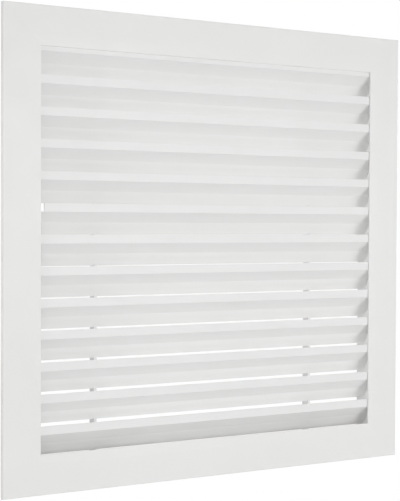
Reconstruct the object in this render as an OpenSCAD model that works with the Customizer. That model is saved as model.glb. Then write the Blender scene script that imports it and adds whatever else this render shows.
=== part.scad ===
// Square wall grille with thirteen fixed horizontal blades.
// Units are millimetres. X runs left to right, Y runs from the front into the wall, Z is up.
// The origin is the middle of the opening, in the wall plane that the back of the flange meets.

/* [Frame] */

// Clear width of the opening inside the flange
opening_w = 319; // [240:0.5:420]
// Width of the flange round the opening
flange_w = 31.5; // [27:0.25:45]
// Thickness of the flange plate
flange_t = 1.6; // [1.2:0.1:2.2]
// Width of the shallow bevel along the flange's inner edge
bevel_w = 7.8; // [3:0.2:9]
// How far the bevel falls back at the inner edge
bevel_fall = 0.3; // [0.2:0.1:0.8]
// Chamfer on the flange's outer front edge
edge_chamfer = 0.6; // [0.2:0.1:1]
// Depth of the return at the flange's outer edge, front face to wall
return_d = 3.75; // [3.4:0.05:6]
// Thickness of the outer return
return_t = 1.5; // [1:0.1:2.5]
// How far the neck's inner face is set out from the flange's inner edge
neck_set = 8.75; // [8:0.25:10.5]
// Thickness of the neck wall
neck_t = 1.5; // [1:0.1:2]
// Depth of the grille from the front face to the rear edge of the neck
neck_d = 29; // [28:0.5:45]
// Open hairline at each mitre, per cut face
mitre_gap = 0.02; // [0:0.01:0.15]

/* [Blades] */

// Distance from one blade to the next
blade_pitch = 25; // [24:0.25:28]
// How far the flange covers the blade pack at the top and at the bottom
pack_cover = 3; // [2:0.25:4]
// Height of the upright nose of a blade
nose_h = 6.75; // [5:0.25:8]
// Drop of the upper web, from the nose to the crease
upper_drop = 8.25; // [7:0.25:9.5]
// Depth of the upper web, from the nose to the crease
upper_run = 9.75; // [8:0.25:10]
// Depth of the lower web, from the crease to the rear edge
lower_run = 6.5; // [5:0.25:7]
// Height left open between a rear edge and the nose below it
slit_h = 0; // [0:0.1:1]
// Thickness of a blade
blade_t = 1.2; // [0.9:0.1:1.4]
// Gap between the back of the flange and the noses
nose_gap = 0.3; // [0.1:0.1:0.5]
// Gap between a blade's end and the neck wall
end_gap = 0.7; // [0.3:0.1:1.5]
// Length of the nick at the left end of the sixth blade's nose
nick_l = 11.5; // [0:0.5:14]

/* [Carrier bars] */

// Distance from the middle of the grille to each carrier bar
carrier_x = 105.4; // [70:0.2:110]
// Thickness of a carrier bar
carrier_t = 2.5; // [2:0.1:3]
// Depth of a carrier bar behind the rear edges of the blades
carrier_tail = 7.2; // [6.5:0.1:8]
// How far the blades reach into the notches of the bars
notch_bite = 1.95; // [1.5:0.05:2.5]
// Clearance round a blade in its notch
notch_clear = 0.1; // [0.05:0.05:0.2]
// Length of the foot at each end of a bar
foot_l = 12; // [10:0.5:16]
// Shank diameter of the rivets through the feet
rivet_d = 4; // [3:0.1:4.5]
// Head diameter of the rivets
rivet_head_d = 7; // [6.5:0.1:7.5]
// Head height of the rivets
rivet_head_h = 1.2; // [0.8:0.1:1.4]

/* [Corner keys] */

// Width of a corner key's legs
key_w = 11.8; // [8:0.1:12]
// Thickness of a corner key
key_t = 1.6; // [1.2:0.1:1.7]
// Length of a corner key's legs, from its outer corner
key_leg = 42; // [30:1:60]
// Clearance each side of a corner key
key_clear = 0.1; // [0.05:0.05:0.3]
// Thickness of the rib that holds the keys
rib_t = 1.2; // [0.8:0.1:1.6]

/* [Hidden] */

$fn = 48;
paint = [0.9, 0.9, 0.89];
mill = [0.75, 0.76, 0.77];
blade_count = 13;
nicked_blade = 5;

front_y = -return_d;
opening_h = blade_count * blade_pitch - 2 * pack_cover;
pack_top = blade_count * blade_pitch / 2;
neck_in_w = opening_w + 2 * neck_set;
neck_in_h = opening_h + 2 * neck_set;
nose_y = front_y + flange_t + nose_gap;
lower_drop = blade_pitch - slit_h - nose_h - upper_drop;
rear_y = nose_y + upper_run + lower_run;
upper_len = norm([upper_run, upper_drop]);
lower_len = norm([lower_run, lower_drop]);
nose_normal = [1, 0];
upper_normal = [upper_drop, upper_run] / upper_len;
lower_normal = [lower_drop, lower_run] / lower_len;
lower_angle = atan2(lower_drop, lower_run);
blade_back_y = rear_y + blade_t * lower_normal[0];
blade_len = neck_in_w - 2 * end_gap;
carrier_front = blade_back_y - notch_bite;
carrier_back = rear_y + carrier_tail;
foot_mid_y = (carrier_front + carrier_back) / 2;
foot_mid_x = carrier_t / 2 + foot_l / 2;
key_in = neck_set + neck_t + key_clear;
rib_u = key_in + key_w + key_clear;
rib_d = flange_t + key_t;
tail_d = rivet_d * 1.5;
tail_h = rivet_d * 0.3;
bore_clear = 0.05;

// Meeting point of two faces set back by the blade thickness
function set_back(p, n1, n2) = p + blade_t * (n1 + n2) / (1 + n1 * n2);

// Section of the frame extrusion: first value outward from the inner edge, second value depth
module frame_section() {
    polygon([
        [0, bevel_fall],
        [bevel_w, 0],
        [flange_w - edge_chamfer, 0],
        [flange_w, edge_chamfer],
        [flange_w, return_d],
        [flange_w - return_t, return_d],
        [flange_w - return_t, flange_t],
        [rib_u + rib_t, flange_t],
        [rib_u + rib_t, rib_d],
        [rib_u, rib_d],
        [rib_u, flange_t],
        [neck_set + neck_t, flange_t],
        [neck_set + neck_t, neck_d],
        [neck_set, neck_d],
        [neck_set, flange_t],
        [0, flange_t]
    ]);
}

// One mitred length of the frame, lying above an opening of the given span and half height
module frame_length(span, half) {
    reach = flange_w + 1;
    intersection() {
        translate([0, front_y, half])
            rotate([0, -90, 0])
                linear_extrude(height = span + 2 * reach, center = true)
                    frame_section();
        translate([0, front_y + neck_d + 1, half])
            rotate([90, 0, 0])
                linear_extrude(height = neck_d + 2)
                    polygon([
                        [-span / 2 + mitre_gap, 0],
                        [span / 2 - mitre_gap, 0],
                        [span / 2 + reach - mitre_gap, reach],
                        [-span / 2 - reach + mitre_gap, reach]
                    ]);
    }
}

// A frame length with the two rivet holes through its neck wall
module frame_rail() {
    difference() {
        frame_length(opening_w, opening_h / 2);
        for (side = [-1, 1])
            translate([side * (carrier_x - foot_mid_x), foot_mid_y, neck_in_h / 2 - 1])
                cylinder(d = rivet_d + 2 * bore_clear, h = neck_t + 2);
    }
}

module frame_top_rail() {
    color(paint)
        frame_rail();
}

module frame_bottom_rail() {
    color(paint)
        rotate([0, 180, 0])
            frame_rail();
}

module frame_left_stile() {
    color(paint)
        rotate([0, -90, 0])
            frame_length(opening_h, opening_w / 2);
}

module frame_right_stile() {
    color(paint)
        rotate([0, 90, 0])
            frame_length(opening_h, opening_w / 2);
}

// Flat angle pressed into the channel behind the flange, across one mitre
module corner_key(sx, sz) {
    inner_x = opening_w / 2 + key_in;
    inner_z = opening_h / 2 + key_in;
    outer_x = inner_x + key_w;
    outer_z = inner_z + key_w;
    color(mill)
        scale([sx, 1, sz])
            translate([0, front_y + flange_t + key_t, 0])
                rotate([90, 0, 0])
                    linear_extrude(height = key_t)
                        polygon([
                            [outer_x, outer_z],
                            [outer_x - key_leg, outer_z],
                            [outer_x - key_leg, inner_z],
                            [inner_x, inner_z],
                            [inner_x, outer_z - key_leg],
                            [outer_x, outer_z - key_leg]
                        ]);
}

// Section of a blade: upright nose, upper web, crease, lower web
module blade_section() {
    nose_foot = [0, -nose_h];
    crease = nose_foot + [upper_run, -upper_drop];
    rear = crease + [lower_run, -lower_drop];
    polygon([
        [0, 0],
        nose_foot,
        crease,
        rear,
        rear + blade_t * lower_normal,
        set_back(crease, upper_normal, lower_normal),
        set_back(nose_foot, nose_normal, upper_normal),
        [blade_t, 0]
    ]);
}

// One blade, counted from the top
module blade(row) {
    color(paint)
        translate([-blade_len / 2, nose_y, pack_top - row * blade_pitch])
            difference() {
                rotate([90, 0, 90])
                    linear_extrude(height = blade_len)
                        blade_section();
                if (row == nicked_blade)
                    translate([-1, -1, -nose_h])
                        cube([nick_l + 1, blade_t + 2, nose_h + 1]);
            }
}

// Slanting slot in a carrier bar that takes the rear edge of one blade
module notch(row) {
    slot_back = notch_bite * 3;
    translate([0, rear_y, pack_top - (row + 1) * blade_pitch + slit_h])
        rotate([-lower_angle, 0, 0])
            translate([-carrier_t, -slot_back, -notch_clear])
                cube([2 * carrier_t, slot_back + notch_clear, blade_t + 2 * notch_clear]);
}

// Upright bar on edge with a notch for every blade and a riveted foot at each end
module carrier_bar(side) {
    color(paint)
        difference() {
            union() {
                translate([side * carrier_x - carrier_t / 2, carrier_front, -neck_in_h / 2])
                    cube([carrier_t, carrier_back - carrier_front, neck_in_h]);
                for (end = [-1, 1])
                    translate([side * (carrier_x - foot_mid_x), foot_mid_y, end * (neck_in_h - carrier_t) / 2])
                        cube([foot_l + carrier_t / 2, carrier_back - carrier_front, carrier_t], center = true);
            }
            translate([side * carrier_x, 0, 0])
                for (row = [0 : blade_count - 1])
                    notch(row);
            for (end = [-1, 1])
                translate([side * (carrier_x - foot_mid_x), foot_mid_y, end * (neck_in_h - carrier_t) / 2])
                    cylinder(d = rivet_d + 2 * bore_clear, h = carrier_t + 2, center = true);
        }
}

module carrier_bar_left() {
    carrier_bar(-1);
}

module carrier_bar_right() {
    carrier_bar(1);
}

// Rivets that hold the feet of the carrier bars to the neck walls
module carrier_rivets() {
    grip = carrier_t + neck_t;
    color(mill)
        for (side = [-1, 1])
            for (end = [0, 180])
                rotate([0, end, 0])
                    translate([(end == 0 ? 1 : -1) * side * (carrier_x - foot_mid_x), foot_mid_y, neck_in_h / 2 - carrier_t]) {
                        translate([0, 0, -rivet_head_h])
                            cylinder(d = rivet_head_d, h = rivet_head_h);
                        cylinder(d = rivet_d, h = grip);
                        translate([0, 0, grip])
                            cylinder(d = tail_d, h = tail_h);
                    }
}

frame_top_rail();
frame_bottom_rail();
frame_left_stile();
frame_right_stile();
corner_key(-1, 1);  // corner_key_top_left
corner_key(1, 1);  // corner_key_top_right
corner_key(-1, -1);  // corner_key_bottom_left
corner_key(1, -1);  // corner_key_bottom_right
carrier_bar_left();
carrier_bar_right();
carrier_rivets();
blade(0);  // blade_01
blade(1);  // blade_02
blade(2);  // blade_03
blade(3);  // blade_04
blade(4);  // blade_05
blade(5);  // blade_06
blade(6);  // blade_07
blade(7);  // blade_08
blade(8);  // blade_09
blade(9);  // blade_10
blade(10);  // blade_11
blade(11);  // blade_12
blade(12);  // blade_13
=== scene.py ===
import math

import bpy
from mathutils import Matrix, Vector

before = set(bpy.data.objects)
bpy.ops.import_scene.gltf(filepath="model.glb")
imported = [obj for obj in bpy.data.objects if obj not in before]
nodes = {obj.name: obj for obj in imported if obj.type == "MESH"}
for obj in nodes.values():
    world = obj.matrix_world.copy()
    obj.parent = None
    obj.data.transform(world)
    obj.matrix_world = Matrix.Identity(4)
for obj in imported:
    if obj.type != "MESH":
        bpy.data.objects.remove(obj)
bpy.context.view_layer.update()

MM = 0.001
# How far from an edge the painted edge shade and painted highlight reach, in millimetres
EDGE_REACH = 0.35
# Height of the floor, in metres
FLOOR_Z = -0.75

# ---------------------------------------------------------------- node helpers


def add(tree, kind, **values):
    """Adds a node; a value is set on the node itself, or on the input of that name."""
    node = tree.nodes.new(kind)
    for key, value in values.items():
        if hasattr(node, key):
            setattr(node, key, value)
        else:
            node.inputs[key.replace("_", " ")].default_value = value
    return node


def link(tree, source, target):
    tree.links.new(source, target)


def maths(tree, operation, first, second=None, third=None):
    node = tree.nodes.new("ShaderNodeMath")
    node.operation = operation
    for slot, value in enumerate((first, second, third)):
        if value is None:
            continue
        if isinstance(value, (int, float)):
            node.inputs[slot].default_value = value
        else:
            tree.links.new(value, node.inputs[slot])
    return node.outputs[0]


def noise(tree, vector, scale, detail=2.0, rough=0.5):
    node = tree.nodes.new("ShaderNodeTexNoise")
    node.inputs["Scale"].default_value = scale
    node.inputs["Detail"].default_value = detail
    node.inputs["Roughness"].default_value = rough
    tree.links.new(vector, node.inputs["Vector"])
    return node.outputs["Fac"]


def stretched(tree, vector, scale):
    node = tree.nodes.new("ShaderNodeVectorMath")
    node.operation = "MULTIPLY"
    node.inputs[1].default_value = scale
    tree.links.new(vector, node.inputs[0])
    return node.outputs[0]


def ranged(tree, value, low, high, from_low=0.3, from_high=0.7):
    node = tree.nodes.new("ShaderNodeMapRange")
    node.inputs["From Min"].default_value = from_low
    node.inputs["From Max"].default_value = from_high
    node.inputs["To Min"].default_value = low
    node.inputs["To Max"].default_value = high
    tree.links.new(value, node.inputs["Value"])
    return node.outputs[0]


def group(name, inputs, outputs):
    tree = bpy.data.node_groups.new(name, "ShaderNodeTree")
    for label, kind in inputs:
        tree.interface.new_socket(label, in_out="INPUT", socket_type=kind)
    for label, kind in outputs:
        tree.interface.new_socket(label, in_out="OUTPUT", socket_type=kind)
    return tree, tree.nodes.new("NodeGroupInput"), tree.nodes.new("NodeGroupOutput")


# ------------------------------------------------------------- shared patterns

PATTERN_OUTPUTS = [("Tint", "NodeSocketFloat"), ("Gloss", "NodeSocketFloat"), ("Height", "NodeSocketFloat")]


def coat_pattern():
    """Powder coat: cloudy tint, patches of gloss, and a fine orange peel."""
    tree, source, result = group(
        "Powder coat pattern",
        [("Place", "NodeSocketVector"), ("Lines", "NodeSocketFloat")],
        PATTERN_OUTPUTS,
    )
    place = source.outputs["Place"]
    clouds = noise(tree, place, 9.0, 3.0)
    speckle = noise(tree, place, 900.0, 1.0)
    peel = noise(tree, place, 520.0, 2.0, 0.45)
    patches = noise(tree, place, 60.0, 3.0)
    drawn = noise(tree, stretched(tree, place, (3.0, 900.0, 900.0)), 1.0, 2.0, 0.6)
    cloud_tint = ranged(tree, clouds, -0.5, 0.5)
    speckle_tint = ranged(tree, speckle, -0.2, 0.2)
    link(tree, maths(tree, "ADD", cloud_tint, speckle_tint), result.inputs["Tint"])
    gloss = maths(tree, "ADD", ranged(tree, patches, -0.6, 0.6), ranged(tree, peel, -0.4, 0.4))
    link(tree, gloss, result.inputs["Gloss"])
    line_height = maths(tree, "MULTIPLY", drawn, source.outputs["Lines"])
    link(tree, maths(tree, "ADD", peel, line_height), result.inputs["Height"])
    return tree


def edge_pattern():
    """How close a point is to an edge: 0 on a flat face, 1 on the edge itself."""
    tree, _, result = group("Edge nearness", [], [("Edge", "NodeSocketFloat")])
    rounded = add(tree, "ShaderNodeBevel", samples=6, Radius=EDGE_REACH * MM)
    geometry = add(tree, "ShaderNodeNewGeometry")
    dot = add(tree, "ShaderNodeVectorMath", operation="DOT_PRODUCT")
    link(tree, rounded.outputs[0], dot.inputs[0])
    link(tree, geometry.outputs["Normal"], dot.inputs[1])
    edge = ranged(tree, dot.outputs["Value"], 1.0, 0.0, 0.75, 0.995)
    link(tree, edge, result.inputs["Edge"])
    return tree


def rolled_pattern():
    """Plain rolled aluminium: fine lines along one direction, dull patches."""
    tree, source, result = group(
        "Rolled metal pattern",
        [("Place", "NodeSocketVector")],
        PATTERN_OUTPUTS,
    )
    place = source.outputs["Place"]
    lines = noise(tree, stretched(tree, place, (60.0, 60.0, 2600.0)), 1.0, 3.0, 0.6)
    patches = noise(tree, place, 90.0, 3.0)
    tint = maths(tree, "ADD", ranged(tree, lines, -0.6, 0.6), ranged(tree, patches, -0.4, 0.4))
    gloss = maths(tree, "ADD", ranged(tree, lines, -0.5, 0.5), ranged(tree, patches, -0.5, 0.5))
    link(tree, tint, result.inputs["Tint"])
    link(tree, gloss, result.inputs["Gloss"])
    link(tree, lines, result.inputs["Height"])
    return tree


COAT = coat_pattern()
EDGE = edge_pattern()
ROLLED = rolled_pattern()

# ------------------------------------------------------------------- materials


def use(tree, pattern):
    node = tree.nodes.new("ShaderNodeGroup")
    node.node_tree = pattern
    return node


def tinted(tree, colour, amount, tint, edge=None, edge_colour=None, edge_amount=0.0):
    """The colour, lighter and darker by amount times the tint, and nearer to edge_colour at edges."""
    factor = maths(tree, "MULTIPLY_ADD", tint, amount, 1.0)
    scaled = tree.nodes.new("ShaderNodeVectorMath")
    scaled.operation = "SCALE"
    scaled.inputs[0].default_value = colour
    link(tree, factor, scaled.inputs["Scale"])
    if edge is None:
        return scaled.outputs[0]
    mixed = tree.nodes.new("ShaderNodeMix")
    mixed.data_type = "RGBA"
    flat, at_edge = [socket for socket in mixed.inputs if socket.type == "RGBA"]
    at_edge.default_value = (*edge_colour, 1.0)
    link(tree, maths(tree, "MULTIPLY", edge, edge_amount), mixed.inputs[0])
    link(tree, scaled.outputs[0], flat)
    return next(s for s in mixed.outputs if s.type == "RGBA")


def material(name):
    made = bpy.data.materials.new(name)
    made.use_nodes = True
    tree = made.node_tree
    tree.nodes.clear()
    shader = tree.nodes.new("ShaderNodeBsdfPrincipled")
    output = tree.nodes.new("ShaderNodeOutputMaterial")
    link(tree, shader.outputs[0], output.inputs["Surface"])
    place = tree.nodes.new("ShaderNodeTexCoord").outputs["Object"]
    return made, tree, shader, place


def bumped(tree, shader, height, depth):
    node = tree.nodes.new("ShaderNodeBump")
    node.inputs["Strength"].default_value = 1.0
    node.inputs["Distance"].default_value = depth
    link(tree, height, node.inputs["Height"])
    link(tree, node.outputs[0], shader.inputs["Normal"])


def powder_coat(name, colour, lines, roughness, edge_shade):
    made, tree, shader, place = material(name)
    coat = use(tree, COAT)
    link(tree, place, coat.inputs["Place"])
    coat.inputs["Lines"].default_value = lines
    edge = use(tree, EDGE).outputs["Edge"]
    # Painted shade: near edges and creases the coat is mixed a tenth of the way towards a darker colour.
    base = tinted(tree, colour, 0.022, coat.outputs["Tint"], edge, edge_shade, 0.1)
    link(tree, base, shader.inputs["Base Color"])
    gloss = maths(tree, "MULTIPLY_ADD", coat.outputs["Gloss"], 0.06, roughness)
    link(tree, maths(tree, "MULTIPLY_ADD", edge, 0.08, gloss), shader.inputs["Roughness"])
    shader.inputs["IOR"].default_value = 1.5
    bumped(tree, shader, coat.outputs["Height"], 0.03 * MM)
    return made


def plain_metal(name, colour, roughness):
    made, tree, shader, place = material(name)
    pattern = use(tree, ROLLED)
    link(tree, place, pattern.inputs["Place"])
    edge = use(tree, EDGE).outputs["Edge"]
    # Painted highlight: near edges the bare metal is mixed half way towards a lighter grey.
    base = tinted(tree, colour, 0.07, pattern.outputs["Tint"], edge, (0.86, 0.87, 0.88), 0.5)
    link(tree, base, shader.inputs["Base Color"])
    gloss = maths(tree, "MULTIPLY_ADD", pattern.outputs["Gloss"], 0.1, roughness)
    link(tree, gloss, shader.inputs["Roughness"])
    shader.inputs["Metallic"].default_value = 1.0
    bumped(tree, shader, pattern.outputs["Height"], 0.01 * MM)
    return made


# The last colour of each coat is painted shade, mixed in near edges and creases.
MATERIALS = {
    "frame_paint": powder_coat("Frame powder coat", (0.80, 0.80, 0.79), 0.0, 0.42, (0.76, 0.76, 0.75)),
    "blade_paint": powder_coat("Blade powder coat", (0.80, 0.80, 0.795), 0.5, 0.42, (0.77, 0.77, 0.76)),
    # Painted shade: the carrier bars are the same white coat as the frame, set darker for the shade they
    # stand in behind the blades.
    "carrier_paint": powder_coat("Carrier powder coat", (0.77, 0.77, 0.765), 0.0, 0.5, (0.7, 0.7, 0.69)),
    "plain_aluminium": plain_metal("Plain aluminium", (0.72, 0.73, 0.74), 0.42),
}
SLOT_OF = {
    "frame": "frame_paint",
    "blade": "blade_paint",
    "carrier_bar": "carrier_paint",
    "carrier_rivets": "plain_aluminium",
    "corner_key": "plain_aluminium",
}

for name, node in nodes.items():
    kind = next(k for k in SLOT_OF if name.startswith(k))
    node.data.materials.clear()
    node.data.materials.append(MATERIALS[SLOT_OF[kind]])

# ---------------------------------------------------------------------- camera

right = Vector((0.869773, -0.493433, 0.004403))
up = Vector((0.007087, 0.021413, 0.999746))
back = -Vector((0.493402, 0.869520, -0.022121))
camera_data = bpy.data.cameras.new("Camera")
camera_data.sensor_fit = "HORIZONTAL"
camera_data.sensor_width = 36.0
camera_data.lens = 107.786
camera_data.clip_start = 0.05
camera_data.clip_end = 50.0
camera = bpy.data.objects.new("Camera", camera_data)
bpy.context.scene.collection.objects.link(camera)
turn = Matrix((right, up, back)).transposed().to_4x4()
camera.matrix_world = Matrix.Translation((-0.511347, -0.873908, 0.021593)) @ turn
bpy.context.scene.camera = camera

# ------------------------------------------------------------ floor and lights


def lamp(name, place, aim, width, height, watts):
    data = bpy.data.lights.new(name, "AREA")
    data.shape = "RECTANGLE"
    data.size = width
    data.size_y = height
    data.energy = watts
    item = bpy.data.objects.new(name, data)
    bpy.context.scene.collection.objects.link(item)
    item.location = place
    item.rotation_mode = "QUATERNION"
    item.rotation_quaternion = (Vector(place) - Vector(aim)).to_track_quat("Z", "Y")
    item.visible_camera = False
    return item


def around(azimuth, elevation, distance=3.0):
    """A place round the grille: azimuth 0 is straight in front, and positive is to the left."""
    a, e = math.radians(azimuth), math.radians(elevation)
    return (
        -distance * math.sin(a) * math.cos(e),
        -distance * math.cos(a) * math.cos(e),
        distance * math.sin(e),
    )


MIDDLE = (0, 0, 0)
lamp("Back light", around(180, 0), MIDDLE, 1.0, 1.0, 68.1)
lamp("Top light", (0, -0.3, 3), MIDDLE, 1.0, 1.0, 26.9)
lamp("Left light", around(80, 5), MIDDLE, 1.0, 1.0, 24.5)
lamp("Left front light", around(35, 5), MIDDLE, 1.0, 1.0, 7.8)
lamp("Right front light", around(-35, 5), MIDDLE, 1.0, 1.0, 10.2)
lamp("Near front light", (0.45, -1.6, 0.1), MIDDLE, 0.6, 0.6, 7.9)
lamp("Low light", (0, -1.2, -0.65), MIDDLE, 2.0, 0.2, 2.2)

floor_mesh = bpy.data.meshes.new("Floor")
floor_mesh.from_pydata(
    [(-1.6, -1.5, FLOOR_Z), (1.6, -1.5, FLOOR_Z), (1.6, 1.3, FLOOR_Z), (-1.6, 1.3, FLOOR_Z)],
    [], [(0, 1, 2, 3)],
)
floor = bpy.data.objects.new("Floor", floor_mesh)
bpy.context.scene.collection.objects.link(floor)
floor_material, floor_tree, floor_shader, floor_place = material("Pale floor")
floor_tint = ranged(floor_tree, noise(floor_tree, floor_place, 3.0, 3.0), -1.0, 1.0)
floor_colour = tinted(floor_tree, (0.8, 0.8, 0.8), 0.01, floor_tint)
link(floor_tree, floor_colour, floor_shader.inputs["Base Color"])
floor_shader.inputs["Roughness"].default_value = 0.8
floor_mesh.materials.append(floor_material)

world = bpy.data.worlds.new("Studio")
bpy.context.scene.world = world
world.use_nodes = True
sky = world.node_tree
sky.nodes.clear()
plain = add(sky, "ShaderNodeBackground", Color=(1.0, 1.0, 1.0, 1.0), Strength=1.0)
soft = add(sky, "ShaderNodeBackground", Color=(1.0, 1.0, 1.0, 1.0), Strength=0.2)
path = add(sky, "ShaderNodeLightPath")
mirrored = maths(sky, "MAXIMUM", path.outputs["Is Glossy Ray"], path.outputs["Is Transmission Ray"])
seen = maths(sky, "MAXIMUM", path.outputs["Is Camera Ray"], mirrored)
pick = add(sky, "ShaderNodeMixShader")
link(sky, seen, pick.inputs[0])
link(sky, soft.outputs[0], pick.inputs[1])
link(sky, plain.outputs[0], pick.inputs[2])
link(sky, pick.outputs[0], add(sky, "ShaderNodeOutputWorld").inputs["Surface"])

bpy.context.scene.view_settings.view_transform = "Standard"
